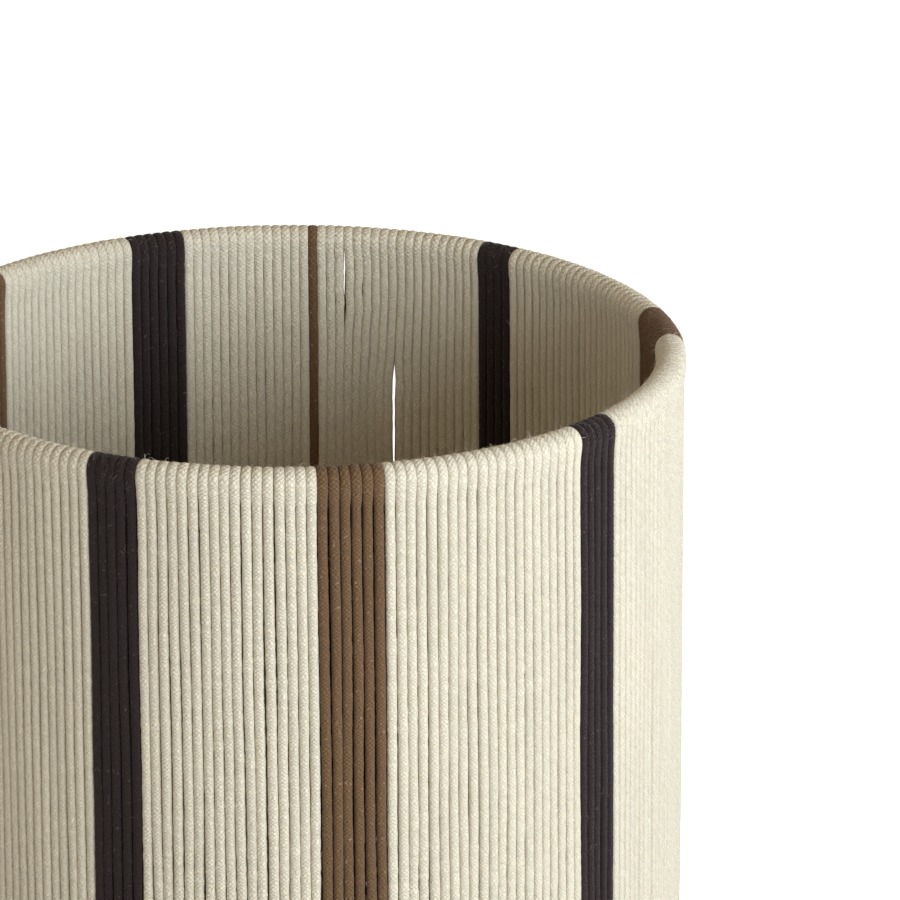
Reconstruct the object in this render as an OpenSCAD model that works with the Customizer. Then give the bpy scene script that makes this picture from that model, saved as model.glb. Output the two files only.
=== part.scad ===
// Drum lantern shade: cotton cord is wound side by side over a top and a bottom wire ring, down
// the outside and up the inside, in cream with brown and black stripes. Uprights between the
// two layers of cord hold the rings apart, and bent arms carry a fitter ring inside.
// Millimetres, +Z up, origin at the middle of the base.

/* [Shade] */
// Outside diameter over the cord
shade_d = 250; // [220:1:320]
// Height over the cord at both rims
shade_h = 210; // [120:1:300]

/* [Cord] */
// Diameter of the braided cord
cord_d = 3; // [2:0.1:4]
// Room between the cord and the wire that it is wound on
wrap_gap = 0.1; // [0.05:0.05:0.5]

/* [Wire frame] */
// Wire of the two rings and of the uprights
wire_d = 3.5; // [2.5:0.1:5]
// Number of uprights between the rings
upright_count = 6; // [3:1:12]
// Gap that a weld bridges, where one wire ends on another
weld_gap = 0.05; // [0.02:0.01:0.1]

/* [Spider] */
// Wire of the spider's arms
arm_d = 3; // [2:0.1:3.4]
// Number of arms
arm_count = 3; // [2:1:4]
// How far an arm runs level inwards from the bottom ring
arm_level = 18; // [14:1:30]
// Radius of an arm's two bends, at the middle of the wire
arm_bend_r = 8; // [5:0.5:10]
// How far an arm reaches under the fitter ring from its edge
arm_lap = 6; // [4:0.5:7]
// Level stretch of an arm before it meets the fitter ring's edge
arm_lead = 8; // [5:1:15]

/* [Fitter ring] */
// Hole that goes over a lampholder
fitter_bore_d = 42; // [28:0.5:44]
// Outside diameter of the flat ring
fitter_d = 60; // [60:1:80]
// Thickness of the flat ring
fitter_t = 1.5; // [1:0.1:3]
// Height of the flat ring's underside above the base
fitter_z = 35; // [28:1:50]

/* [Hidden] */
// The stripes in order round the drum, each with its number of turns of cord.
stripes = [
    ["brown", 6], ["cream", 21], ["black", 5], ["cream", 27],
    ["brown", 9], ["cream", 23], ["black", 4], ["cream", 19],
    ["brown", 1], ["cream", 14], ["black", 6], ["cream", 17],
    ["brown", 5], ["cream", 18], ["black", 4], ["cream", 17],
    ["brown", 3], ["cream", 19], ["black", 5], ["cream", 17],
];
// Direction in which the first stripe starts, anticlockwise from +X.
first_stripe_at = -84.5;
// Turns of cord between the start of the first stripe and the first spider arm.
turns_to_arm = 22;

// Turns of cord in the first k stripes together.
function turns_before(k) = k == 0 ? 0 : turns_before(k - 1) + stripes[k - 1][1];
// How many stripes of stripe k's colour there are up to and including it.
function number_in_colour(k) = len([for (i = [0 : k]) if (stripes[i][0] == stripes[k][0]) i]);
function winding_name(k) = str(stripes[k][0], "_winding_", number_in_colour(k));
function upright_name(i) = str("upright_", i + 1);
function arm_name(i) = str("spider_arm_", i + 1);

last_stripe = len(stripes) - 1;
turn_angle = 360 / turns_before(len(stripes));

// Half of the wall, and of the room that the wire has inside it.
wall_half = cord_d + wrap_gap + wire_d / 2;
room_half = wrap_gap + wire_d / 2;
// The rings' middle line: both rims are round about it.
ring_r = shade_d / 2 - wall_half;
bottom_ring_z = wall_half;
top_ring_z = shade_h - wall_half;

// The arms leave the bottom ring between two turns of cord, and the uprights stand between arms.
first_arm_at = first_stripe_at + turns_to_arm * turn_angle;
first_upright_at = first_arm_at + 180 / upright_count;
arm_z = fitter_z - arm_d / 2 - weld_gap;
arm_inner_r = fitter_d / 2 - arm_lap;
arm_high_r = fitter_d / 2 + arm_lead;
arm_low_r = ring_r - arm_level;
arm_slope = atan2(arm_z - bottom_ring_z, arm_low_r - arm_high_r);
arm_clearance_d = arm_d + 2 * wrap_gap;

cord_colour = [
    ["cream", "#ebe6d2"],
    ["brown", "#7d624e"],
    ["black", "#2c2526"],
];
frame_colour = "#e9e7e1";
function colour_of(name) = [for (c = cord_colour) if (c[0] == name) c[1]][0];

$fn = 96;
// Flats round a bent wire, and steps in each of its bends.
wire_sides = 24;
bend_steps = 6;

// A ring of round wire, lying level with its middle line at radius ring_r.
module wire_ring(z) {
    translate([0, 0, z])
        rotate_extrude()
            translate([ring_r, 0])
                circle(d = wire_d);
}

module top_ring() {
    color(frame_colour) wire_ring(top_ring_z);
}

module bottom_ring() {
    color(frame_colour) wire_ring(bottom_ring_z);
}

// A straight wire that stands on the bottom ring and ends under the top one.
module upright(i) {
    seat = wire_d / 2 + weld_gap;
    color(frame_colour)
        rotate([0, 0, first_upright_at + i * 360 / upright_count])
            translate([ring_r, 0, bottom_ring_z + seat])
                cylinder(d = wire_d, h = top_ring_z - bottom_ring_z - 2 * seat);
}

// A bent wire along stations of [radius, height, rise], where it runs inwards and climbs at the
// angle rise. Each station carries a ring of points square to the wire.
module bent_wire(stations, d) {
    last = len(stations) - 1;
    points = [
        for (s = stations, j = [0 : wire_sides - 1])
            let (turn = j * 360 / wire_sides, up = d / 2 * cos(turn), aside = d / 2 * sin(turn))
                [s[0] + up * sin(s[2]), aside, s[1] + up * cos(s[2])]
    ];
    sides = [
        for (k = [0 : last - 1], j = [0 : wire_sides - 1])
            let (
                here = k * wire_sides + j,
                beside = k * wire_sides + (j + 1) % wire_sides,
                next = wire_sides
            )
                each [[here, beside + next, beside], [here, here + next, beside + next]]
    ];
    outer_end = [for (j = [0 : wire_sides - 1]) j];
    inner_end = [for (j = [wire_sides - 1 : -1 : 0]) last * wire_sides + j];
    polyhedron(points, concat(sides, [outer_end, inner_end]));
}

// An arm of the spider: level from the bottom ring through the wound cord, up a slope, and
// level again under the fitter ring.
module spider_arm(i) {
    trim = arm_bend_r * tan(arm_slope / 2);
    low_bend = [arm_low_r + trim, bottom_ring_z + arm_bend_r];
    high_bend = [arm_high_r - trim, arm_z - arm_bend_r];
    step = arm_slope / bend_steps;
    stations = concat(
        [[ring_r - wire_d / 2 - weld_gap, bottom_ring_z, 0]],
        [
            for (a = [0 : step : arm_slope + step / 2])
                [low_bend[0] - arm_bend_r * sin(a), low_bend[1] - arm_bend_r * cos(a), a]
        ],
        [
            for (a = [arm_slope : -step : -step / 2])
                [high_bend[0] + arm_bend_r * sin(a), high_bend[1] + arm_bend_r * cos(a), a]
        ],
        [[arm_inner_r, arm_z, 0]]
    );
    color(frame_colour)
        rotate([0, 0, first_arm_at + i * 360 / arm_count])
            bent_wire(stations, arm_d);
}

// The flat ring that a lampholder's collar clamps.
module fitter_ring() {
    color(frame_colour)
        translate([0, 0, fitter_z])
            difference() {
                cylinder(d = fitter_d, h = fitter_t);
                translate([0, 0, -fitter_t])
                    cylinder(d = fitter_bore_d, h = 3 * fitter_t);
            }
}

// An upright slot with round ends about the two rings' middle lines.
module wall_outline(half) {
    translate([ring_r - half, bottom_ring_z])
        square([2 * half, top_ring_z - bottom_ring_z]);
    for (z = [bottom_ring_z, top_ring_z])
        translate([ring_r, z])
            circle(r = half);
}

// The room that stripe k's cord fills, from its first turn to its last, hollow for the wires.
// The spider's arms pass through it where they meet it.
module winding(k) {
    color(colour_of(stripes[k][0]))
        difference() {
            rotate([0, 0, first_stripe_at + turns_before(k) * turn_angle])
                rotate_extrude(angle = stripes[k][1] * turn_angle)
                    difference() {
                        wall_outline(wall_half);
                        wall_outline(room_half);
                    }
            for (i = [0 : arm_count - 1])
                rotate([0, 0, first_arm_at + i * 360 / arm_count])
                    translate([arm_low_r, 0, bottom_ring_z])
                        rotate([0, 90, 0])
                            cylinder(d = arm_clearance_d, h = ring_r - arm_low_r);
        }
}

top_ring();
bottom_ring();
for (i = [0 : upright_count - 1])
    upright(i);
for (i = [0 : arm_count - 1])
    spider_arm(i);
fitter_ring();
for (k = [0 : last_stripe])
    winding(k);
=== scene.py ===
# %% [markdown]
# # A drum lantern shade wound with cotton cord
#
# The real object is a wire drum with braided cotton cord wound round it, turn beside turn: down
# the outside, under the bottom ring, up the inside and over the top ring again. Cream cord makes
# the ground, and lengths of brown and black cord make the stripes. Nothing in it is a flat wall:
# its whole look comes from 240 separate turns of a soft, slightly uneven cord.
#
# The wall could be a smooth drum with grooves drawn by a bump map. That fails at the rim, where
# one sees each cord bend over the wire, and wherever light falls through between two turns. So
# each stripe is built here as what it is: one long tube that runs round and round the rings.
#
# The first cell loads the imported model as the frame. Every size that the cords need, such as the
# radius of the rings and of their wire, is read from it.

# %% Load the frame and read its sizes
import math

import bpy
import numpy as np
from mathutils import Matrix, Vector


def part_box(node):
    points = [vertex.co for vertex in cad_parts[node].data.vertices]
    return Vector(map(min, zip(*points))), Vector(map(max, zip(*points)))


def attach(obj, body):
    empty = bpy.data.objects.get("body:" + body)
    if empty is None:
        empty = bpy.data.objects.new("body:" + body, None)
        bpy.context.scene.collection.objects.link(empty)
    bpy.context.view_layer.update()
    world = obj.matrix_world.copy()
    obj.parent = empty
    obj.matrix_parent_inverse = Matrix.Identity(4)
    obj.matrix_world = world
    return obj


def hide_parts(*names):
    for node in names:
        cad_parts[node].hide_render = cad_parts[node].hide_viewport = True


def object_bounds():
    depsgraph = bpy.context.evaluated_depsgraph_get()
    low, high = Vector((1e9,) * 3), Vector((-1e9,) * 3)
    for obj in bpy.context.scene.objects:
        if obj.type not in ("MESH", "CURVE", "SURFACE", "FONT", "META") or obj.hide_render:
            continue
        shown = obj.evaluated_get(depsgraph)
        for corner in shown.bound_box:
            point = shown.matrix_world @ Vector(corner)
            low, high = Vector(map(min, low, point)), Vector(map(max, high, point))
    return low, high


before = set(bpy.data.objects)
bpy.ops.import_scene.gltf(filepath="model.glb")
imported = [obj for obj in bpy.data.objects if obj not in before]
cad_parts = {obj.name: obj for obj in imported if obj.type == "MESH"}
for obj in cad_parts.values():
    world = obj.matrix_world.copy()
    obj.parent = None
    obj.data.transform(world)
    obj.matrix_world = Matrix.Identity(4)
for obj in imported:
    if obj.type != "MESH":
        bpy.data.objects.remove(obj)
cad_low, cad_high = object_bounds()

MM = 0.001
WRAP_GAP = 0.1 * MM  # between the cord and the wire that it is wound on

top_low, top_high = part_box("top_ring")
bottom_low, bottom_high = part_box("bottom_ring")
wire_r = (top_high.z - top_low.z) / 2
ring_r = (top_high.x - top_low.x) / 2 - wire_r
top_z = (top_high.z + top_low.z) / 2
bottom_z = (bottom_high.z + bottom_low.z) / 2
shade_r = (cad_high.x - cad_low.x) / 2
cord_d = shade_r - ring_r - wire_r - WRAP_GAP

print(f"ring radius {ring_r / MM:.2f} mm, wire {2 * wire_r / MM:.2f} mm, cord {cord_d / MM:.2f} mm")

# %% [markdown]
# ## The camera
#
# The shade is seen from a little above, from some way off through a long lens, so that its
# uprights stay almost parallel. Only its upper right part fills the picture. The camera's place
# is given from the middle of the top rim, in shade radii, so it would follow a change of size.

# %% Set the camera
LENS = 360.0
SENSOR = 36.0
LOOK_DOWN = math.radians(19.0435)
RIM_RIGHT, RIM_UP, RIM_AHEAD = -0.40669, 0.27276, 22.54339  # of the rim's middle, in shade radii

scene = bpy.context.scene
camera_data = bpy.data.cameras.new("camera")
camera_data.lens = LENS
camera_data.sensor_width = SENSOR
camera_data.clip_end = 50
camera = bpy.data.objects.new("camera", camera_data)
scene.collection.objects.link(camera)
scene.camera = camera

down, level = math.sin(LOOK_DOWN), math.cos(LOOK_DOWN)
camera.location = (
    -RIM_RIGHT * shade_r,
    (-RIM_UP * down - RIM_AHEAD * level) * shade_r,
    cad_high.z + (-RIM_UP * level + RIM_AHEAD * down) * shade_r,
)
camera.rotation_euler = (math.pi / 2 - LOOK_DOWN, 0, 0)
print("camera at", [round(x, 3) for x in camera.location])

# %% [markdown]
# ## The stripes
#
# The list gives the stripes in order round the drum, each with the number of turns of cord that
# was wound before the colour changed. One turn takes 1.5 degrees of the drum.

# %% List the stripes
STRIPES = [
    ("brown", 6), ("cream", 21), ("black", 5), ("cream", 27),
    ("brown", 9), ("cream", 23), ("black", 4), ("cream", 19),
    ("brown", 1), ("cream", 14), ("black", 6), ("cream", 17),
    ("brown", 5), ("cream", 18), ("black", 4), ("cream", 17),
    ("brown", 3), ("cream", 19), ("black", 5), ("cream", 17),
]
FIRST_STRIPE_AT = math.radians(-84.5)
TURNS_TO_ARM = 22
ARMS = 3

all_turns = sum(turns for _, turns in STRIPES)
pitch = math.tau / all_turns
first_arm_at = FIRST_STRIPE_AT + TURNS_TO_ARM * pitch
arm_directions = [first_arm_at + i * math.tau / ARMS for i in range(ARMS)]
print(all_turns, "turns,", round(math.degrees(pitch), 3), "degrees each")

# %% [markdown]
# Nobody winds at a perfectly even pitch: here the turns lie a little further apart, and there a
# little closer. The next list gives, for some turns, how far the winding is ahead of even turns.

# %% List how far the winding creeps ahead
CREEP = [
    (0, -0.33), (6, 0.0), (27, 0.75), (32, 0.82), (59, 0.05), (68, -0.15), (91, 0.72), (95, 0.68),
    (114, -0.10), (129, -0.78), (176, -0.85), (223, -0.55), (240, -0.33),
]


def creep(turn):
    """How many turns' widths the winding is ahead at this turn."""
    turns, ahead = zip(*CREEP)
    return np.interp(np.mod(turn, all_turns), turns, ahead)


print("turn 27 lies", round(float(creep(27)) * math.degrees(pitch), 2), "degrees ahead")

# %% [markdown]
# ## Where a cord runs
#
# A turn of cord has four stretches: up the inside, half a circle over the top ring, down the
# outside and half a circle under the bottom ring. All the while it creeps sideways, by one turn's
# width a turn, so each stripe is a flattened helix. The function below gives the place for any
# distance along that helix: radius, height, and how far it has got from the inside of the wall
# (0) to the outside (1).
#
# Between the rings the cord is pulled straight, and it lies a little closer to the frame than
# where it bulges over the wire. That makes the rim stand proud, as on the real shade.

# %% Describe one turn
leg = top_z - bottom_z  # a straight stretch, between the heights of the rings' middle lines
bend_r = wire_r + WRAP_GAP + cord_d / 2
half_circle = math.pi * bend_r
turn_length = 2 * leg + 2 * half_circle
SINK = 0.45 * MM  # how much closer to the frame the straight legs lie than the bends
SINK_OVER = 9 * MM  # height over which a leg leaves the rim's bulge
UPRIGHTS = 6
UPRIGHT_LIFT = 0.3 * MM  # how far an upright holds the cord out
UPRIGHT_SPREAD = 4 * MM


def ease(x):
    """A smooth step from 0 to 1."""
    x = np.clip(x, 0, 1)
    return x * x * (3 - 2 * x)


def cord_place(along):
    """Radius, height and outsideness of points at these distances along the helix."""
    way = np.mod(along, turn_length)
    over = np.clip((way - leg) / bend_r, 0, math.pi)
    under = np.clip((way - 2 * leg - half_circle) / bend_r, 0, math.pi)
    climbing = way < leg
    falling = way - leg - half_circle
    z = np.where(
        climbing,
        bottom_z + way,
        np.where(
            falling < 0,
            top_z + bend_r * np.sin(over),
            np.where(falling < leg, top_z - falling, bottom_z - bend_r * np.sin(under)),
        ),
    )
    outside = (1 - np.cos(over)) / 2 - (1 - np.cos(under)) / 2
    into_leg = np.minimum(top_z - z, z - bottom_z)
    sink = SINK * ease(into_leg / SINK_OVER)
    radius = ring_r + (2 * outside - 1) * (bend_r - sink)
    return radius, z, outside


print(f"one turn takes {turn_length / MM:.1f} mm of cord, all of them {all_turns * turn_length:.1f} m")

# %% [markdown]
# ## Hand winding is uneven
#
# Turns laid by hand don't lie at equal distances. They drift in groups, they press together here
# and part there, and each wanders a little on its way between the rings. All of this is one kind
# of number: random values on a coarse grid round the drum and up it, blended smoothly between the
# knots. Noise from a library would do as well, but this grid closes on itself round the drum, and
# a fixed seed gives the same shade each time.

# %% Make smooth random values over the wall


def wall_noise(seed, round_knots, up_knots):
    """A function of (turn, height) with smooth values from -1 to 1, periodic round the drum."""
    knots = np.random.default_rng(seed).uniform(-1, 1, (round_knots, up_knots + 1))

    def value(turn, height):
        a = np.asarray(turn) * round_knots / all_turns
        b = np.clip(height, 0, 0.9999) * up_knots
        i, j = np.floor(a).astype(int), np.floor(b).astype(int)
        u, v = ease(a - i), ease(b - j)
        i, after = i % round_knots, (i + 1) % round_knots
        low = knots[i, j] * (1 - u) + knots[after, j] * u
        high = knots[i, j + 1] * (1 - u) + knots[after, j + 1] * u
        return low * (1 - v) + high * v

    return value


drift = wall_noise(1, 36, 1)  # groups of turns, the same inside and outside
jitter = wall_noise(2, all_turns, 1)  # each turn by itself
sway_out, sway_in = wall_noise(3, 80, 4), wall_noise(4, 80, 4)  # slow bows between the rings
wander_out, wander_in = wall_noise(5, all_turns, 9), wall_noise(6, all_turns, 9)  # short bends
depth_out, depth_in = wall_noise(7, all_turns, 3), wall_noise(8, all_turns, 3)  # in and out
width_noise = wall_noise(9, all_turns, 115)  # thick and thin places, a few millimetres long
thick_noise = wall_noise(10, all_turns, 100)
print("ten fields of uneven winding, from fixed seeds")

# %% [markdown]
# ## Where turns part
#
# In a few places the turns stand apart. Each arm of the spider leaves the bottom ring through the
# inner layer, and the turns on both sides of it are pushed away. And here and there the winding
# is loose enough for light to fall through both layers, as a bright slit.
#
# Both are the same sum: a turn at a distance d from the middle of the gap moves away from it by
# the gap's half width, less and less with distance, so that the turns further off close up again.
# A slit always lies between two whole turns, so its place is counted in turns.

# %% Push turns apart
ARM_R = 1.5 * MM
ARM_SPREAD = 24 * MM  # distance round the wall over which the turns close up again
ARM_RISE = 16 * MM  # height over which the gap above an arm closes
GAP_EDGE = 0.5 * MM  # a turn nearer than this to a gap's middle is only partly pushed
SLIT_SPREAD = 9 * MM
SLIT_FADE = 10 * MM  # height over which a slit closes at either end
CALM, CALM_WITHIN = 0.85, 10 * MM  # how much less, and how near a slit, the turns wander
SLIDE_WITHIN = 20 * MM  # distance from a slit over which turns slide along with it
SLIDE_FADE = 45 * MM  # height over which they slide back
DRIFT, JITTER, BOW, BEND = 0.16 * MM, 0.30 * MM, 0.34 * MM, 0.14 * MM  # how far turns stray

# Each slit: the turn before it, its ends' heights, half its width, how ragged it is, and how far
# the turns round it have slid along the wall, inside and outside.
SLITS = [
    (104, 100 * MM, 168 * MM, 0.80 * MM, 0.35, 1.5 * MM, 2.6 * MM),
    (110, 174 * MM, 210 * MM, 0.45 * MM, 1.1, -0.2 * MM, 0.7 * MM),
    (147, 60 * MM, 110 * MM, 0.30 * MM, 0.8, 0.0 * MM, 0.9 * MM),
    (201, 90 * MM, 150 * MM, 0.30 * MM, 0.8, -0.3 * MM, 0.5 * MM),
]


def parting(distance, half_gap, spread):
    """How far a turn at this distance from a gap's middle moves away from it."""
    nearness = np.exp(-np.abs(distance) / spread)
    return np.tanh(distance / GAP_EDGE) * half_gap * nearness


def round_wall(angle, centre, radius):
    """Distance round the wall from a direction, from minus half to plus half a round."""
    return (np.mod(angle - centre + math.pi, math.tau) - math.pi) * radius


def sideways(turn, height, outside, radius, angle):
    """How far a point of the cord lies beside its even place, as a distance round the wall."""
    share = np.clip((height - bottom_z) / leg, 0, 1)
    between_rings = np.sin(math.pi * share)
    # Inside, where the turns lie closer, they stray less.
    bow = sway_out(turn, share) * outside + 0.55 * sway_in(turn, share) * (1 - outside)
    bend = wander_out(turn, share) * outside + 0.7 * wander_in(turn, share) * (1 - outside)
    moved = (DRIFT * drift(turn, share) + JITTER * jitter(turn, share)) * (0.4 + 0.6 * outside)
    moved = moved + BOW * bow * between_rings + BEND * bend * (0.3 + 0.7 * between_rings)
    for direction in arm_directions:
        d = round_wall(angle, direction, radius)
        low = np.exp(-(((height - bottom_z) / ARM_RISE) ** 2))
        moved = moved + parting(d, ARM_R * (1 - 0.75 * outside), ARM_SPREAD) * low
    for after, low, high, half_gap, ragged, slid_in, slid_out in SLITS:
        d = (np.floor(turn) - after - 0.5) * pitch * radius
        open_here = ease((height - low) / SLIT_FADE) * ease((high - height) / SLIT_FADE)
        calm = 1 - CALM * open_here * np.exp(-((d / CALM_WITHIN) ** 2))
        gap = half_gap * (1 + ragged * width_noise(turn, share))
        moved = moved * calm + parting(d, gap, SLIT_SPREAD) * open_here
        from_end = np.minimum(height - low, high - height) + 0.6 * SLIDE_FADE
        slid = (slid_in + (slid_out - slid_in) * outside) * np.exp(-((d / SLIDE_WITHIN) ** 2))
        moved = moved + slid * ease(from_end / SLIDE_FADE)
    return moved


print(len(SLITS), "slits and", ARMS, "arms part the turns")

# %% [markdown]
# ## From a line to a cord
#
# A curve object with a round bevel would be the quick way to a cord, but its cross-section stays
# a circle. Real cord pressed against its neighbours and pulled over a wire is an oval, a little
# flat where it lies against the frame, and its thickness changes from stitch to stitch. So the
# tube is built by hand: at each station along the line stands a ring of points, and faces join
# each ring to the next.
#
# Two maps are laid on it. One, named cord, counts millimetres along the cord and turns round it,
# and the braid of the material follows it. The other cuts the long cord into rows that fill a
# square, so that a picture baked from the material has the same detail everywhere.

# %% Build the tube of a stripe
SIDES = 12
LEG_STEPS = 118
BEND_STEPS = 12
END_AT = 13 * MM  # height on the inside where one cord ends and the next begins
END_GAP = 0.25 * MM
HALF_WIDTH_OUT, HALF_WIDTH_IN = 1.58 * MM, 1.55 * MM
FLATTENED = 0.22 * MM  # how much wider the cord is where it is pulled over a wire
HALF_THICK = 1.43 * MM
SQUARE_OUT, SQUARE_IN = 0.76, 0.64  # 1 would be an ellipse, and less is more like a rounded box
WIDTH_VARIES, THICKNESS_VARIES = 0.085, 0.045
THINNER_OVER_WIRE = 0.03
END_SHARE = 0.72  # how thick a cord's pinched end is
LEG_DEPTH = 0.16 * MM  # how far on average, and how unevenly, a leg is pressed in
NUDGE = 0.2 * MM  # step along the cord that gives its direction
around = np.arange(SIDES) / SIDES * math.tau


def stations(turns):
    """Distances along the helix where a stripe's cord has its rings of points."""
    one_turn = np.concatenate([
        np.linspace(0, leg, LEG_STEPS, endpoint=False),
        np.linspace(leg, leg + half_circle, BEND_STEPS, endpoint=False),
        np.linspace(leg + half_circle, 2 * leg + half_circle, LEG_STEPS, endpoint=False),
        np.linspace(2 * leg + half_circle, turn_length, BEND_STEPS, endpoint=False),
    ])
    every = np.concatenate([one_turn + k * turn_length for k in range(turns + 1)])
    start = END_AT - bottom_z + END_GAP
    end = END_AT - bottom_z - END_GAP + turns * turn_length
    inner = every[(every > start + 0.5 * MM) & (every < end - 0.5 * MM)]
    return np.concatenate([[start], inner, [end]])


def cord_line(along, first_turn):
    """Where the middle of a cord runs, at distances along the helix."""
    turn = first_turn + along / turn_length
    radius, z, outside = cord_place(along)
    share = np.clip((z - bottom_z) / leg, 0, 1)
    angle = FIRST_STRIPE_AT + pitch * (turn + creep(turn))
    depth = depth_out(turn, share) * outside + depth_in(turn, share) * (1 - outside)
    into_leg = ease(np.minimum(top_z - z, z - bottom_z) / SINK_OVER)
    lift = 0
    for i in range(UPRIGHTS):
        at = first_arm_at + math.pi / UPRIGHTS + i * math.tau / UPRIGHTS
        d = round_wall(angle, at, radius)
        lift = lift + UPRIGHT_LIFT * np.exp(-((d / UPRIGHT_SPREAD) ** 2))
    radius = radius + (2 * outside - 1) * into_leg * (lift - LEG_DEPTH * (1 + depth))
    angle = angle + sideways(turn, z, outside, radius, angle) / radius
    line = np.stack([radius * np.cos(angle), radius * np.sin(angle), z], axis=1)
    return line, angle, turn, share, outside


def cord_points(along, first_turn):
    """The line of a cord and its two cross directions, at distances along the helix."""
    line, angle, turn, share, outside = cord_line(along, first_turn)
    ahead, behind = (cord_line(along + step, first_turn)[0] for step in (NUDGE, -NUDGE))
    forward = ahead - behind
    forward /= np.linalg.norm(forward, axis=1, keepdims=True)
    across = np.stack([-np.sin(angle), np.cos(angle), 0 * angle], axis=1)
    across -= forward * np.sum(across * forward, axis=1, keepdims=True)
    across /= np.linalg.norm(across, axis=1, keepdims=True)
    away = np.cross(forward, across)
    return line, across, away, turn, share, outside


def cord_rings(turns, first_turn):
    """Points of the tube, as rings x sides x 3, and the distance of each ring in millimetres."""
    along = stations(turns)
    line, across, away, turn, share, outside = cord_points(along, first_turn)
    wide = HALF_WIDTH_IN + (HALF_WIDTH_OUT - HALF_WIDTH_IN) * outside
    over_wire = 1 - ease(np.minimum(share, 1 - share) * leg / SINK_OVER)
    wide = (wide + FLATTENED * over_wire) * (1 + WIDTH_VARIES * width_noise(turn, share))
    uneven = THICKNESS_VARIES * thick_noise(turn, share)
    thick = HALF_THICK * (1 + uneven - THINNER_OVER_WIRE * over_wire)
    wide[[0, -1]] *= END_SHARE
    thick[[0, -1]] *= END_SHARE
    square = (SQUARE_IN + (SQUARE_OUT - SQUARE_IN) * outside)[:, None]
    c, s = np.cos(around)[None], np.sin(around)[None]
    sidewise = np.sign(c) * np.abs(c) ** square * wide[:, None]
    outward = np.sign(s) * np.abs(s) ** square * thick[:, None]
    points = line[:, None] + across[:, None] * sidewise[..., None] + away[:, None] * outward[..., None]
    return points, along / MM


def tube_mesh(name, points, distance):
    """A closed tube from rings of points, with the cord map and the map for baking."""
    rings = len(points)
    i, j = np.meshgrid(np.arange(rings - 1), np.arange(SIDES), indexing="ij")
    beside = (j + 1) % SIDES
    quads = np.stack(
        [i * SIDES + j, i * SIDES + beside, (i + 1) * SIDES + beside, (i + 1) * SIDES + j], axis=-1
    ).reshape(-1, 4)
    caps = np.stack([np.arange(SIDES)[::-1], (rings - 1) * SIDES + np.arange(SIDES)])
    mesh = bpy.data.meshes.new(name)
    mesh.vertices.add(rings * SIDES)
    mesh.vertices.foreach_set("co", points.reshape(-1).astype(np.float32))
    corners = np.concatenate([quads.reshape(-1), caps.reshape(-1)])
    mesh.loops.add(len(corners))
    mesh.loops.foreach_set("vertex_index", corners.astype(np.int32))
    starts = np.concatenate([np.arange(len(quads)) * 4, len(quads) * 4 + np.array([0, SIDES])])
    mesh.polygons.add(len(starts))
    mesh.polygons.foreach_set("loop_start", starts.astype(np.int32))
    mesh.update(calc_edges=True)
    mesh.polygons.foreach_set("use_smooth", np.ones(len(starts), dtype=bool))

    # The map along the cord: the last column of faces closes at 1, and not back at 0.
    near, far = distance[i], distance[i + 1]
    left, right = j / SIDES, (j + 1) / SIDES
    u = np.stack([near, near, far, far], axis=-1)
    v = np.stack([left, right, right, left], axis=-1)
    end_u = np.repeat(distance[[0, -1]], SIDES)
    end_v = np.tile(np.arange(SIDES) / SIDES, 2)
    cord_map = mesh.uv_layers.new(name="cord")
    flat = np.stack([
        np.concatenate([u.reshape(-1), end_u]), np.concatenate([v.reshape(-1), end_v])
    ], axis=1)
    cord_map.uv.foreach_set("vector", flat.reshape(-1).astype(np.float32))

    # Rows of cord that fill a square. A row is as high as the cord is round.
    girth = 2 * math.pi * HALF_THICK / MM
    rows = max(1, round(math.sqrt((distance[-1] - distance[0]) / girth)))
    per_row = math.ceil((rings - 1) / rows)
    row = i // per_row
    x0, x1 = (i % per_row) / per_row, (i % per_row + 1) / per_row
    margin = 0.04  # of a row, left empty below and above it
    y0 = (row + margin + (1 - 2 * margin) * left) / rows
    y1 = (row + margin + (1 - 2 * margin) * right) / rows
    u = np.stack([x0, x0, x1, x1], axis=-1)
    v = np.stack([y0, y1, y1, y0], axis=-1)
    cap_round = np.stack([np.cos(around), np.sin(around)], axis=1) * 0.3 / rows / per_row
    ends = [cap_round + (0.5 / per_row, 0.5 / rows), cap_round + (1 - 0.5 / per_row, 0.5 / rows)]
    flat = np.concatenate([np.stack([u.reshape(-1), v.reshape(-1)], axis=1), *ends])
    bake_map = mesh.uv_layers.new(name="OFBake")
    bake_map.uv.foreach_set("vector", flat.reshape(-1).astype(np.float32))
    mesh.uv_layers.active = cord_map
    return mesh


print(f"{SIDES} points round the cord, {2 * (LEG_STEPS + BEND_STEPS)} rings to a turn")

# %% [markdown]
# ## Helpers for materials
#
# Materials here are small node trees written in code. One helper makes a Math node and wires its
# inputs, whether they are numbers or other nodes' outputs, so a formula reads as a formula.

# %% Write node formulas


def wire(tree, socket, value):
    """Gives an input a number, a colour, or another node's output."""
    if isinstance(value, bpy.types.NodeSocket):
        tree.links.new(value, socket)
    else:
        socket.default_value = value


def calc(tree, kind, *values):
    """A Math node of this kind, fed with the values. Returns its output."""
    node = tree.nodes.new("ShaderNodeMath")
    node.operation = kind
    for socket, value in zip(node.inputs, values):
        wire(tree, socket, value)
    return node.outputs[0]


def between(tree, share, low, high):
    """The value that lies this share of the way from low to high."""
    return calc(tree, "MULTIPLY_ADD", share, calc(tree, "SUBTRACT", high, low), low)


def blend_colour(tree, share, first, second, kind="MIX"):
    """A colour Mix node."""
    node = tree.nodes.new("ShaderNodeMix")
    node.data_type = "RGBA"
    node.blend_type = kind
    wire(tree, node.inputs["Factor"], share)
    colour_inputs = [s for s in node.inputs if s.type == "RGBA"]
    wire(tree, colour_inputs[0], first)
    wire(tree, colour_inputs[1], second)
    return [s for s in node.outputs if s.type == "RGBA"][0]


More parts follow.
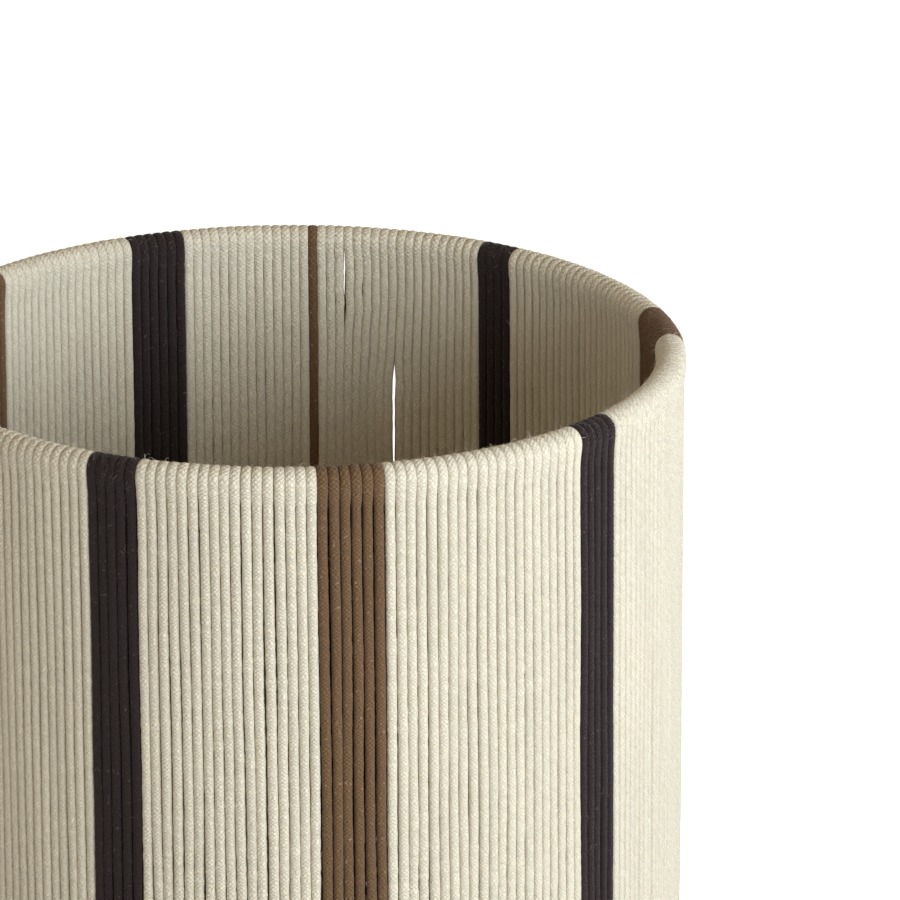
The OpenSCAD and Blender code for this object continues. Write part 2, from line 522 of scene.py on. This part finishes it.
def clouds(tree, vector, scale, detail=2.0):
    """A noise texture's value, about 0.5 on average."""
    node = tree.nodes.new("ShaderNodeTexNoise")
    node.inputs["Scale"].default_value = scale
    node.inputs["Detail"].default_value = detail
    tree.links.new(vector, node.inputs["Vector"])
    return node.outputs["Fac"]


def new_group(name, takes, gives):
    """An empty shader node group. takes is {input: starting value} and gives lists outputs."""
    group = bpy.data.node_groups.new(name, "ShaderNodeTree")
    for label, value in takes.items():
        kind = "NodeSocketVector" if isinstance(value, tuple) else "NodeSocketFloat"
        made = group.interface.new_socket(label, in_out="INPUT", socket_type=kind)
        made.default_value = value
    for label in gives:
        group.interface.new_socket(label, in_out="OUTPUT", socket_type="NodeSocketFloat")
    return group, group.nodes.new("NodeGroupInput"), group.nodes.new("NodeGroupOutput")


def place_group(tree, group, **values):
    """Puts a node group in a material. An underscore in a name stands for a space."""
    node = tree.nodes.new("ShaderNodeGroup")
    node.node_tree = group
    for label, value in values.items():
        wire(tree, node.inputs[label.replace("_", " ")], value)
    return node


print("helpers for node formulas are ready")

# %% [markdown]
# ## The braid
#
# A braided cord has strands that climb round it both ways and pass over and under each other.
# Unrolled, that is a net of diamonds. In the group below, one coordinate counts the strands that
# climb to the right and the other those that climb to the left. In every second diamond the one
# family is on top, and in the others the other. Each diamond is a small pillow, highest on the
# strand's back, with a crevice where it dives under its neighbour.
#
# The group gives the height for a bump, the crevice as a mask of painted shade that darkens the colour
# there, and a tone that is a little different for each strand. Cream, brown and black cord all use it.
# A machine braids evenly, but soft yarn doesn't stay so, and the wobble shifts the net here and there.

# %% Make the braid group


def make_braid():
    group, given, result = new_group(
        "braid",
        {"Along": 0.0, "Around": 0.0, "Strands": 7.0, "Stitch": 1.25, "Wobble": 0.8},
        ["Height", "Crevice", "Tone"],
    )
    count = given.outputs["Strands"]
    place = group.nodes.new("ShaderNodeCombineXYZ")
    group.links.new(given.outputs["Along"], place.inputs["X"])
    around = calc(group, "SINE", calc(group, "MULTIPLY", given.outputs["Around"], math.tau))
    group.links.new(around, place.inputs["Y"])
    shift = calc(group, "SUBTRACT", clouds(group, place.outputs["Vector"], 0.45, 2.0), 0.5)
    shift = calc(group, "MULTIPLY", shift, given.outputs["Wobble"])
    turned = calc(group, "MULTIPLY", given.outputs["Around"], count)
    climbed = calc(group, "DIVIDE", given.outputs["Along"], given.outputs["Stitch"])
    climbed = calc(group, "ADD", climbed, calc(group, "MULTIPLY", shift, 3.0))
    turned = calc(group, "ADD", turned, shift)
    right, left = calc(group, "ADD", turned, climbed), calc(group, "SUBTRACT", turned, climbed)
    right_part, left_part = calc(group, "FRACT", right), calc(group, "FRACT", left)
    right_no, left_no = calc(group, "FLOOR", right), calc(group, "FLOOR", left)
    on_top = calc(group, "FLOORED_MODULO", calc(group, "ADD", right_no, left_no), 2.0)
    crosswise = between(group, on_top, right_part, left_part)
    lengthwise = between(group, on_top, left_part, right_part)
    ridge = calc(group, "SINE", calc(group, "MULTIPLY", crosswise, math.pi))
    crown = calc(group, "SINE", calc(group, "MULTIPLY", lengthwise, math.pi))
    ridge = calc(group, "POWER", calc(group, "MAXIMUM", ridge, 0.0), 0.6)
    crown = calc(group, "MAXIMUM", crown, 0.0)
    height = calc(group, "MULTIPLY", ridge, calc(group, "MULTIPLY_ADD", crown, 0.4, 0.6))
    # The crevice mask is used as painted shade in the cord's colour.
    crevice = calc(group, "SUBTRACT", 1.0, calc(group, "MINIMUM", height, 1.0))

    # The same strand keeps its tone all along, also where it passes the map's seam.
    strand = calc(group, "FLOORED_MODULO", between(group, on_top, right_no, left_no), count)
    strand = calc(group, "MULTIPLY_ADD", on_top, 31.0, strand)
    tone = group.nodes.new("ShaderNodeTexWhiteNoise")
    tone.noise_dimensions = "1D"
    group.links.new(strand, tone.inputs["W"])
    group.links.new(height, result.inputs["Height"])
    group.links.new(crevice, result.inputs["Crevice"])
    group.links.new(tone.outputs["Value"], result.inputs["Tone"])
    return group


braid = make_braid()
print("braid group:", len(braid.nodes), "nodes")

# %% [markdown]
# ## Loose fibres and flecks
#
# Cotton yarn isn't clean. Short fibres stand out of it and catch the light, bits of seed leave
# darker specks, and the fibres make fine streaks along each strand. A second group makes these
# from the same coordinates: a streak value for colour and bump, and a mask of rare flecks.

# %% Make the fibre group


def make_fibres():
    group, given, result = new_group(
        "cotton_fibres", {"Along": 0.0, "Around": 0.0}, ["Streak", "Fleck", "Lot"]
    )
    girth = 9.3  # millimetres round the cord, so both coordinates have one scale
    place = group.nodes.new("ShaderNodeCombineXYZ")
    wrapped = calc(group, "MULTIPLY", given.outputs["Around"], math.tau)
    radius = girth / math.tau
    group.links.new(given.outputs["Along"], place.inputs["X"])
    sine, cosine = calc(group, "SINE", wrapped), calc(group, "COSINE", wrapped)
    group.links.new(calc(group, "MULTIPLY", sine, radius), place.inputs["Y"])
    group.links.new(calc(group, "MULTIPLY", cosine, radius), place.inputs["Z"])
    streak = clouds(group, place.outputs["Vector"], 2.4, 3.0)
    speck = clouds(group, place.outputs["Vector"], 1.1, 0.0)
    fleck = calc(group, "MULTIPLY", calc(group, "SUBTRACT", speck, 0.75), 10.0)
    fleck = calc(group, "MINIMUM", calc(group, "MAXIMUM", fleck, 0.0), 1.0)
    lot = clouds(group, place.outputs["Vector"], 0.012, 1.0)
    group.links.new(streak, result.inputs["Streak"])
    group.links.new(fleck, result.inputs["Fleck"])
    group.links.new(lot, result.inputs["Lot"])
    return group


fibres = make_fibres()
print("fibre group:", len(fibres.nodes), "nodes")

# %% [markdown]
# ## Cotton
#
# Cotton has no gloss. It scatters light so evenly that its roundness shows only through shade,
# and a fine fuzz lifts the edges, which is what sheen does. Some light also goes into a pale cord
# and comes out beside where it went in, so the cream cord has a little subsurface scattering.
# It makes the grooves between turns warm and not grey.

# %% Make the three cotton materials


def make_cotton(name, colour, crevice_shade, speck, contrast, sheen, scatter):
    """Braided cotton: its colour, the painted shade in its crevices, the colour of its specks, and how
    strong each effect is.
    """
    material = bpy.data.materials.new(name)
    material.use_nodes = True
    tree = material.node_tree
    shader = tree.nodes["Principled BSDF"]
    lay = tree.nodes.new("ShaderNodeUVMap")
    lay.uv_map = "cord"
    parts = tree.nodes.new("ShaderNodeSeparateXYZ")
    tree.links.new(lay.outputs["UV"], parts.inputs["Vector"])
    along, turned = parts.outputs["X"], parts.outputs["Y"]
    plait = place_group(tree, braid, Along=along, Around=turned, Strands=7.0, Stitch=1.25)
    yarn = place_group(tree, fibres, Along=along, Around=turned)

    # Painted shade: the braid's crevices are darkened towards the crevice colour, unevenly along the
    # streaks.
    shaded = calc(tree, "POWER", plait.outputs["Crevice"], 1.5)
    patchy = calc(tree, "MULTIPLY_ADD", yarn.outputs["Streak"], 2.0, -0.4)
    shaded = calc(tree, "MULTIPLY", shaded, calc(tree, "MULTIPLY", patchy, contrast))
    shaded = calc(tree, "MINIMUM", calc(tree, "MAXIMUM", shaded, 0.0), 1.0)
    tint = blend_colour(tree, shaded, (*colour, 1), (*crevice_shade, 1))
    toned = calc(tree, "MULTIPLY_ADD", plait.outputs["Tone"], 0.10, 0.95)
    less = calc(tree, "SUBTRACT", toned, 0.15)
    toned = calc(tree, "MULTIPLY_ADD", yarn.outputs["Streak"], 0.30, less)
    less = calc(tree, "SUBTRACT", toned, 0.12)
    toned = calc(tree, "MULTIPLY_ADD", yarn.outputs["Lot"], 0.24, less)
    grey = tree.nodes.new("ShaderNodeCombineColor")
    for channel in grey.inputs:
        tree.links.new(toned, channel)
    tint = blend_colour(tree, 1.0, tint, grey.outputs["Color"], "MULTIPLY")
    tint = blend_colour(tree, yarn.outputs["Fleck"], tint, (*speck, 1))
    tree.links.new(tint, shader.inputs["Base Color"])

    rough = calc(tree, "MULTIPLY_ADD", yarn.outputs["Streak"], 0.14, 0.80)
    tree.links.new(rough, shader.inputs["Roughness"])
    relief = calc(tree, "MULTIPLY_ADD", yarn.outputs["Streak"], 0.35, plait.outputs["Height"])
    bump = tree.nodes.new("ShaderNodeBump")
    bump.inputs["Strength"].default_value = 1.0
    bump.inputs["Distance"].default_value = 0.26 * MM
    tree.links.new(relief, bump.inputs["Height"])
    tree.links.new(bump.outputs["Normal"], shader.inputs["Normal"])
    shader.inputs["Sheen Weight"].default_value = sheen
    shader.inputs["Sheen Roughness"].default_value = 0.5
    shader.inputs["Specular IOR Level"].default_value = 0.25
    shader.inputs["Subsurface Weight"].default_value = scatter
    shader.inputs["Subsurface Radius"].default_value = (1.0, 0.75, 0.45)
    shader.inputs["Subsurface Scale"].default_value = 1.0 * MM
    return material


# For each cord, the second colour is the painted shade in the braid's crevices, and the third is that
# of its specks.
cotton = {
    "cream": make_cotton(
        "cream_cotton", (0.81, 0.755, 0.62), (0.48, 0.40, 0.26), (0.68, 0.60, 0.45),
        0.85, 0.10, 0.12
    ),
    "brown": make_cotton(
        "brown_cotton", (0.192, 0.108, 0.050), (0.045, 0.023, 0.011), (0.30, 0.20, 0.13),
        1.3, 0.12, 0.0
    ),
    "black": make_cotton(
        "black_cotton", (0.027, 0.0155, 0.0155), (0.009, 0.005, 0.005), (0.07, 0.05, 0.05),
        1.0, 0.10, 0.0
    ),
}
print("cotton:", ", ".join(cotton))

# %% [markdown]
# ## Wind the stripes
#
# Each stripe becomes one piece. It takes the place of the plain CAD solid of the same name, which
# stays behind for collision, and it rides on the shade's only body.

# %% Wind every stripe


def wind_stripes():
    made, turns_done, count = [], 0, {}
    for colour, turns in STRIPES:
        count[colour] = count.get(colour, 0) + 1
        node = f"{colour}_winding_{count[colour]}"
        points, distance = cord_rings(turns, turns_done)
        winding = bpy.data.objects.new(f"{node}_cord", tube_mesh(node, points, distance))
        winding.data.materials.append(cotton[colour])
        scene.collection.objects.link(winding)
        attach(winding, "root")
        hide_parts(node)
        made.append(winding)
        turns_done += turns
    return made


windings = wind_stripes()
print(len(windings), "stripes,", sum(len(w.data.polygons) for w in windings), "faces")

# %% [markdown]
# ## Stray fibres
#
# Single fibres stand away from the cord and cross from one stripe to the next, where a pale one
# shows well on black. Particle hair would grow them too, but it has to be turned into meshes to
# leave Blender. Here each fibre is a bent three-sided thread, less than a tenth of a millimetre
# thick and closed at both ends.

# %% Grow stray fibres
FIBRE_STEPS = 5
RUBBED_SHARE = 0.45  # of all fibres, these stand on the rims
FIBRES_PER_TURN = {"cream": 20, "brown": 34, "black": 34}


def fibre_mesh(name, roots, normals, rng):
    """Thin bent threads that start at the roots and lean over the surface."""
    n = len(roots)
    length = rng.uniform(0.7, 2.6, n) * MM
    thick = rng.uniform(0.022, 0.055, n) * MM
    lean = rng.normal(size=(n, 3))
    lean -= normals * np.sum(lean * normals, axis=1, keepdims=True)
    lean /= np.linalg.norm(lean, axis=1, keepdims=True)
    rise = rng.uniform(0.1, 0.75, n)[:, None]
    curl = rng.uniform(-0.9, 0.9, n)[:, None]
    side = np.cross(normals, lean)
    t = np.linspace(0, 1, FIBRE_STEPS + 1)
    path = [
        roots + length[:, None] * (
            lean * s + side * curl * s * s + normals * (rise * math.sin(2.4 * s) - 0.03)
        )
        for s in t
    ]
    path = np.stack(path, axis=1)
    forward = np.gradient(path, axis=1)
    forward /= np.linalg.norm(forward, axis=2, keepdims=True)
    first = np.cross(forward, normals[:, None] + 0.01)
    first /= np.linalg.norm(first, axis=2, keepdims=True)
    second = np.cross(forward, first)
    taper = (1 - 0.6 * t)[None, :, None] * thick[:, None, None]
    corners = [
        path + taper * (first * math.cos(a) + second * math.sin(a))
        for a in (0, math.tau / 3, 2 * math.tau / 3)
    ]
    points = np.stack(corners, axis=2).reshape(-1, 3)
    k = np.arange(n)[:, None, None] * (FIBRE_STEPS + 1) * 3
    i = np.arange(FIBRE_STEPS)[None, :, None] * 3
    j = np.arange(3)[None, None, :]
    beside = (j + 1) % 3
    quads = np.stack([k + i + j, k + i + beside, k + i + 3 + beside, k + i + 3 + j], axis=-1)
    foot = k.reshape(-1, 1) + np.array([2, 1, 0])
    tip = k.reshape(-1, 1) + FIBRE_STEPS * 3 + np.array([0, 1, 2])
    mesh = bpy.data.meshes.new(name)
    mesh.from_pydata(
        points.tolist(), [], quads.reshape(-1, 4).tolist() + foot.tolist() + tip.tolist()
    )
    faces = mesh.polygons
    faces.foreach_set("use_smooth", np.ones(len(faces), dtype=bool))
    return mesh


def make_lint(name, colour):
    """The bare fibre: the same cotton, without braid, because it is a single hair."""
    material = bpy.data.materials.new(name)
    material.use_nodes = True
    tree = material.node_tree
    shader = tree.nodes["Principled BSDF"]
    where = tree.nodes.new("ShaderNodeTexCoord")
    vary = clouds(tree, where.outputs["Object"], 400.0, 1.0)
    pale = tuple(min(1.0, 1.3 * c) for c in colour)
    tint = blend_colour(tree, vary, (*colour, 1), (*pale, 1))
    tree.links.new(tint, shader.inputs["Base Color"])
    rough = calc(tree, "MULTIPLY_ADD", vary, 0.2, 0.7)
    tree.links.new(rough, shader.inputs["Roughness"])
    shader.inputs["Sheen Weight"].default_value = 0.3
    return material


def grow_fibres():
    rng = np.random.default_rng(21)
    lint = {
        "cream": make_lint("cream_lint", (0.80, 0.76, 0.64)),
        "brown": make_lint("brown_lint", (0.30, 0.20, 0.14)),
        "black": make_lint("black_lint", (0.15, 0.11, 0.115)),
    }
    made = []
    for colour in lint:
        roots, normals = [], []
        turns_done = 0
        for stripe_colour, turns in STRIPES:
            if stripe_colour == colour:
                count = turns * FIBRES_PER_TURN[colour]
                along = rng.uniform(END_AT, turns * turn_length, count)
                # Rubbing raises more of them on the rims than between them.
                bend = rng.integers(0, turns, count) * turn_length + leg
                on_rim = bend + rng.normal(0.5, 0.5, count) * half_circle
                along = np.sort(np.where(rng.random(count) < RUBBED_SHARE, on_rim, along))
                line, across, away = cord_points(along, turns_done)[:3]
                tilt = rng.uniform(-0.9, 0.9, count)[:, None]
                # On the bends and both legs, away points out of the wall.
                out = away * np.cos(tilt) + across * np.sin(tilt)
                roots.append(line + out * HALF_THICK * 0.97)
                normals.append(out)
            turns_done += turns
        mesh = fibre_mesh(f"{colour}_fibres", np.concatenate(roots), np.concatenate(normals), rng)
        mesh.materials.append(lint[colour])
        piece = bpy.data.objects.new(f"{colour}_fibres", mesh)
        scene.collection.objects.link(piece)
        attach(piece, "root")
        made.append(piece)
    return made


stray = grow_fibres()
print("fibres:", {piece.name: len(piece.data.polygons) for piece in stray})

# %% [markdown]
# ## The frame's finish
#
# The wires and the fitter ring are steel with an off-white powder coat. Sprayed powder melts into
# a skin that is nearly smooth, with the faint dimples of an orange's peel, and it thins and turns
# a little darker on sharp edges and at welds, which is left out here. One group makes the peel and the
# dust on top.

# %% Coat the frame


def make_peel():
    group, given, result = new_group(
        "powder_skin", {"Place": (0.0, 0.0, 0.0), "Dimples per metre": 900.0}, ["Peel", "Dust"]
    )
    node = group.nodes.new("ShaderNodeTexNoise")
    node.inputs["Detail"].default_value = 1.0
    group.links.new(given.outputs["Place"], node.inputs["Vector"])
    group.links.new(given.outputs["Dimples per metre"], node.inputs["Scale"])
    dust = clouds(group, given.outputs["Place"], 60.0, 4.0)
    group.links.new(node.outputs["Fac"], result.inputs["Peel"])
    group.links.new(dust, result.inputs["Dust"])
    return group


powder_skin = make_peel()


def make_powder_coat(name, colour, dimples):
    material = bpy.data.materials.new(name)
    material.use_nodes = True
    tree = material.node_tree
    shader = tree.nodes["Principled BSDF"]
    where = tree.nodes.new("ShaderNodeTexCoord")
    skin = place_group(tree, powder_skin, Place=where.outputs["Object"], Dimples_per_metre=dimples)
    dusty = tuple(0.86 * c for c in colour)
    tint = blend_colour(tree, skin.outputs["Dust"], (*colour, 1), (*dusty, 1))
    tree.links.new(tint, shader.inputs["Base Color"])
    rough = calc(tree, "MULTIPLY_ADD", skin.outputs["Dust"], 0.25, 0.30)
    tree.links.new(rough, shader.inputs["Roughness"])
    bump = tree.nodes.new("ShaderNodeBump")
    bump.inputs["Strength"].default_value = 0.35
    bump.inputs["Distance"].default_value = 0.05 * MM
    tree.links.new(skin.outputs["Peel"], bump.inputs["Height"])
    tree.links.new(bump.outputs["Normal"], shader.inputs["Normal"])
    return material


wire_coat = make_powder_coat("wire_coat", (0.80, 0.78, 0.72), 1400.0)
plate_coat = make_powder_coat("plate_coat", (0.81, 0.79, 0.73), 900.0)


def coat_wires():
    wires = [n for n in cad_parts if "ring" in n or "upright" in n or "arm" in n]
    for name in wires:
        wire_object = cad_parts[name]
        wire_object.data.materials.clear()
        wire_object.data.materials.append(wire_coat)
    return wires


print("coated:", coat_wires())

# %% [markdown]
# ## The fitter ring and its welds
#
# The fitter is a flat ring stamped from sheet, so its edges are rounded on one side and carry a
# small burr radius on the other. Spun from a rounded outline, it catches a thin line of light at
# both edges, which a sharp-edged ring wouldn't. The arms end under it, each with a bead of weld
# along both sides of the wire.

# %% Spin the fitter ring and lay the welds
FITTER_BORE_R = 21 * MM
EDGE_R = 0.45 * MM
SPIN_STEPS = 128
fitter_low, fitter_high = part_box("fitter_ring")
fitter_r = (fitter_high.x - fitter_low.x) / 2


def spin(name, outline, steps):
    """A closed ring: an outline of (radius, height) points carried round the Z axis."""
    outline = np.array(outline)
    n = len(outline)
    turn = np.arange(steps) / steps * math.tau
    points = np.stack([
        outline[None, :, 0] * np.cos(turn)[:, None],
        outline[None, :, 0] * np.sin(turn)[:, None],
        np.broadcast_to(outline[:, 1], (steps, n)),
    ], axis=-1).reshape(-1, 3)
    faces = [
        (i * n + j, ((i + 1) % steps) * n + j, ((i + 1) % steps) * n + (j + 1) % n, i * n + (j + 1) % n)
        for i in range(steps)
        for j in range(n)
    ]
    mesh = bpy.data.meshes.new(name)
    mesh.from_pydata(points.tolist(), [], faces)
    mesh.polygons.foreach_set("use_smooth", np.ones(len(faces), dtype=bool))
    return mesh


def rounded_section(inner, outer, low, high, round_low, round_high, steps=5):
    """The fitter's section, anticlockwise, with quarter circles at its four corners."""
    corners = [
        (outer, low, -1, 1, round_low, -math.pi / 2),
        (outer, high, -1, -1, round_high, 0),
        (inner, high, 1, -1, round_high, math.pi / 2),
        (inner, low, 1, 1, round_low, math.pi),
    ]
    return [
        (r + dr * size + size * math.cos(a0 + q), z + dz * size + size * math.sin(a0 + q))
        for r, z, dr, dz, size, a0 in corners
        for q in np.linspace(0, math.pi / 2, steps)
    ]


def make_fitter():
    section = rounded_section(
        FITTER_BORE_R, fitter_r, fitter_low.z, fitter_high.z, 0.3 * EDGE_R, EDGE_R
    )
    piece = bpy.data.objects.new("fitter_plate", spin("fitter_plate", section, SPIN_STEPS))
    piece.data.materials.append(plate_coat)
    scene.collection.objects.link(piece)
    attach(piece, "root")
    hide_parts("fitter_ring")
    return piece


fitter = make_fitter()
print("fitter plate:", len(fitter.data.polygons), "faces")

# %% Lay the weld beads
BEAD_LENGTH = 5 * MM
BEAD_SIZE = 0.75 * MM
BEAD_STEPS, BEAD_SIDES = 14, 10


def make_weld(i, direction):
    """Two lumpy beads, one on each side of an arm, in the corner under the fitter plate."""
    rng = np.random.default_rng(50 + i)
    beads = []
    for side in (-1, 1):
        for k in range(BEAD_STEPS + 1):
            share = k / BEAD_STEPS
            radius = fitter_r - 0.4 * MM - BEAD_LENGTH * share
            size = BEAD_SIZE * math.sin(math.pi * (0.06 + 0.88 * share)) ** 0.4
            size *= 1 + 0.10 * math.sin(9 * math.tau * share) + rng.uniform(-0.04, 0.04)
            for j in range(BEAD_SIDES):
                a = j * math.tau / BEAD_SIDES
                y = side * (ARM_R - 0.1 * MM) + size * math.cos(a)
                z = fitter_low.z - 0.25 * MM + min(size * math.sin(a), 0.24 * MM)
                beads.append((
                    radius * math.cos(direction) - y * math.sin(direction),
                    radius * math.sin(direction) + y * math.cos(direction),
                    z,
                ))
    faces = []
    for bead in range(2):
        start = bead * (BEAD_STEPS + 1) * BEAD_SIDES
        for k in range(BEAD_STEPS):
            for j in range(BEAD_SIDES):
                here = start + k * BEAD_SIDES + j
                beside = start + k * BEAD_SIDES + (j + 1) % BEAD_SIDES
                faces.append((here, here + BEAD_SIDES, beside + BEAD_SIDES, beside))
        last = start + BEAD_STEPS * BEAD_SIDES
        faces.append(tuple(start + j for j in range(BEAD_SIDES)))
        faces.append(tuple(last + j for j in reversed(range(BEAD_SIDES))))
    mesh = bpy.data.meshes.new(f"weld_{i + 1}")
    mesh.from_pydata(beads, [], faces)
    mesh.polygons.foreach_set("use_smooth", np.ones(len(faces), dtype=bool))
    mesh.materials.append(plate_coat)
    piece = bpy.data.objects.new(f"weld_{i + 1}", mesh)
    scene.collection.objects.link(piece)
    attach(piece, "root")
    return piece


welds = [make_weld(i, direction) for i, direction in enumerate(arm_directions)]
print(len(welds), "welds")

# %% [markdown]
# ## Floor and light
#
# The shade stands in a white studio: a pale floor, white all round, and one large soft lamp on
# the right and in front of it. The lamp hangs low, so it lights the outside fully but reaches
# only the top of the inside, which falls off into a warm brown further down.
#
# A studio makes its floor pure white with extra light from below. Here the floor glows a little
# for the camera alone, so that none of that light creeps up inside the shade. The surroundings
# do the same.

# %% Build the studio


def only_for_camera(tree, for_camera, for_light):
    """One value for what the camera sees and another for the light that a thing gives."""
    path = tree.nodes.new("ShaderNodeLightPath")
    return between(tree, path.outputs["Is Camera Ray"], for_light, for_camera)


def make_floor():
    material = bpy.data.materials.new("floor_paint")
    material.use_nodes = True
    tree = material.node_tree
    shader = tree.nodes["Principled BSDF"]
    where = tree.nodes.new("ShaderNodeTexCoord")
    vary = clouds(tree, where.outputs["Object"], 3.0, 2.0)
    tint = blend_colour(tree, vary, (0.88, 0.88, 0.88, 1), (0.90, 0.90, 0.90, 1))
    tree.links.new(tint, shader.inputs["Base Color"])
    shader.inputs["Roughness"].default_value = 0.9
    shader.inputs["Emission Color"].default_value = (1, 1, 1, 1)
    wire(tree, shader.inputs["Emission Strength"], only_for_camera(tree, FLOOR_GLOW, 0.0))
    size = 8.0
    corners = [(-size, -size, 0), (size, -size, 0), (size, size, 0), (-size, size, 0)]
    mesh = bpy.data.meshes.new("floor")
    mesh.from_pydata(corners, [], [(0, 1, 2, 3)])
    mesh.materials.append(material)
    floor = bpy.data.objects.new("floor", mesh)
    scene.collection.objects.link(floor)
    return floor


def add_lamp(name, round_to, up, distance, width, height, power):
    """A soft lamp, so many degrees to the right of the front and above the floor."""
    side, rise = math.radians(round_to), math.radians(up)
    data = bpy.data.lights.new(name, "AREA")
    data.shape = "RECTANGLE"
    data.size, data.size_y = width, height
    data.energy = power
    data.color = DAYLIGHT
    lamp = bpy.data.objects.new(name, data)
    lamp.location = (
        distance * math.sin(side) * math.cos(rise),
        -distance * math.cos(side) * math.cos(rise),
        MIDDLE_Z + distance * math.sin(rise),
    )
    lamp.rotation_euler = (math.pi / 2 - rise, 0, side)
    scene.collection.objects.link(lamp)
    return lamp


FLOOR_GLOW = 0.75
MIDDLE_Z = 0.16
DAYLIGHT = (0.91, 1.0, 1.09)
CEILING = (1.0, 0.78, 0.50)
HORIZON_FALL = 3.2  # how soon the walls' light gives way to the ceiling's
floor = make_floor()
add_lamp("key", 49, 15, 1.8, 1.9, 0.6, 29.7)


def make_surroundings(level, zenith):
    """White walls that give this level of cool light near the horizon, and a dim, warm zenith."""
    world = bpy.data.worlds.new("studio")
    world.use_nodes = True
    tree = world.node_tree
    where = tree.nodes.new("ShaderNodeTexCoord")
    parts = tree.nodes.new("ShaderNodeSeparateXYZ")
    tree.links.new(where.outputs["Generated"], parts.inputs["Vector"])
    height = calc(tree, "ABSOLUTE", parts.outputs["Z"])
    fall = calc(tree, "EXPONENT", calc(tree, "MULTIPLY", height, -HORIZON_FALL))
    light = between(tree, fall, zenith, level)
    shown = tree.nodes["Background"]
    wire(tree, shown.inputs["Strength"], only_for_camera(tree, 1.0, light))
    path = tree.nodes.new("ShaderNodeLightPath")
    warmth = blend_colour(tree, fall, (*CEILING, 1), (*DAYLIGHT, 1))
    tint = blend_colour(tree, path.outputs["Is Camera Ray"], warmth, (1, 1, 1, 1))
    tree.links.new(tint, shown.inputs["Color"])
    return world


scene.world = make_surroundings(0.90, 0.30)
scene.view_settings.view_transform = "Standard"
print("floor, lamp and white surroundings are set")

# %% Write the sizes and finish
print("CAD box", [round(x, 4) for x in (*cad_low, *cad_high)])
